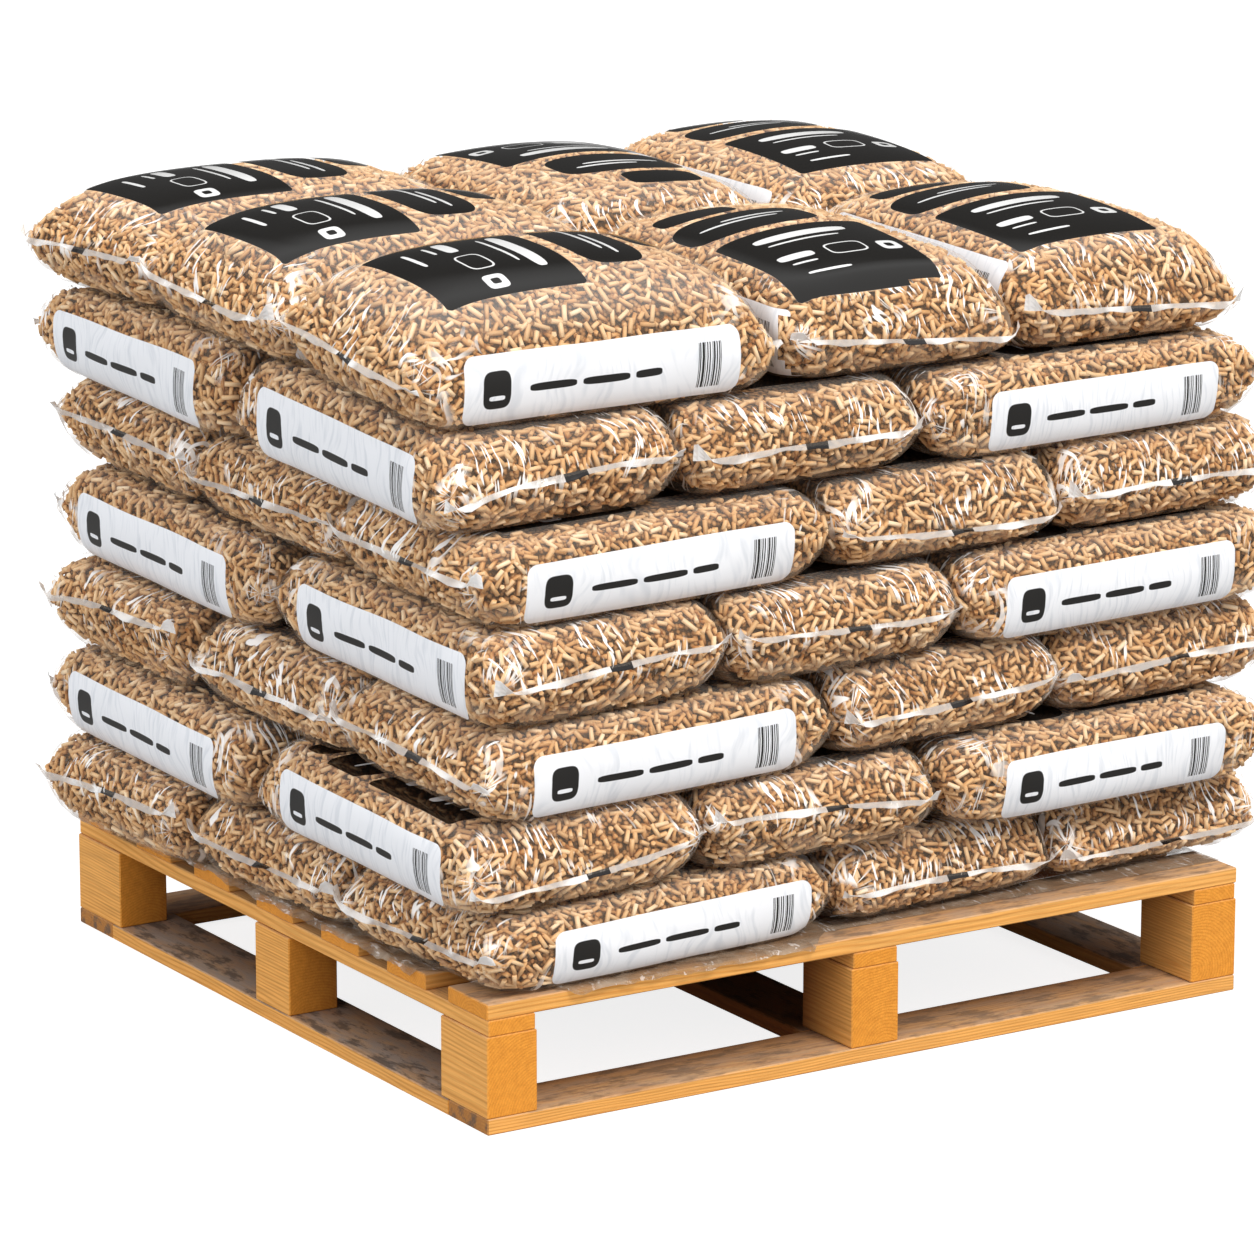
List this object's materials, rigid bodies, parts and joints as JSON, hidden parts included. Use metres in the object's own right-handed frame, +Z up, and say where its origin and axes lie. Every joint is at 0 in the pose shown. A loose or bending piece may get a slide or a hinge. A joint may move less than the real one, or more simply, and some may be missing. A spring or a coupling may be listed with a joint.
{
  "type": "pallet of sacks",
  "caption": "Stack of clear film sacks full of wood pellets, laid in crossed layers on a four-way pine pallet.",
  "frame": {"origin": "on the floor under the middle of the pallet", "axes": "+Z up; +X along the deck boards, to the right seen from the front; the front faces -Y and the left side faces -X"},
  "size_m": [1.3775, 1.22, 1.0981],
  "materials": {
    "pine": "rough sawn, dirty on the bottom boards",
    "sack": "clear glossy film over wood pellets",
    "sheet_film": "thin crumpled clear film"
  },
  "bodies": {
    "root": {"bottom_board_front": "pine", "bottom_board_back": "pine", "bottom_board_left": "pine", "bottom_board_centre": "pine", "bottom_board_right": "pine", "block_front_left": "pine", "block_front_centre": "pine", "block_front_right": "pine", "block_middle_left": "pine", "block_middle_centre": "pine", "block_middle_right": "pine", "block_back_left": "pine", "block_back_centre": "pine", "block_back_right": "pine", "stringer_left": "pine", "stringer_centre": "pine", "stringer_right": "pine", "deck_board_1": "pine", "deck_board_2": "pine", "deck_board_3": "pine", "deck_board_4": "pine", "deck_board_5": "pine", "deck_board_6": "pine", "deck_board_7": "pine", "deck_sheet": "sheet_film", "sacks_layer1": "sack", "sacks_layer2": "sack", "sacks_layer3": "sack", "sack_layer4_1": "sack", "sack_layer4_2": "sack", "sack_layer4_3": "sack", "sack_layer4_4": "sack", "sack_layer4_5": "sack", "sack_layer4_6": "sack", "sack_layer4_7": "sack", "sack_layer5_1": "sack", "sack_layer5_2": "sack", "sack_layer5_3": "sack", "sack_layer5_4": "sack", "sack_layer5_5": "sack", "sack_layer5_6": "sack", "sack_layer5_7": "sack", "sack_layer6_1": "sack", "sack_layer6_2": "sack", "sack_layer6_3": "sack", "sack_layer6_4": "sack", "sack_layer6_5": "sack", "sack_layer6_6": "sack", "sack_layer6_7": "sack", "sack_layer7_1": "sack", "sack_layer7_2": "sack", "sack_layer7_3": "sack", "sack_layer7_4": "sack", "sack_layer7_5": "sack", "sack_layer7_6": "sack", "sack_layer7_7": "sack"}
  },
  "joints": []
}
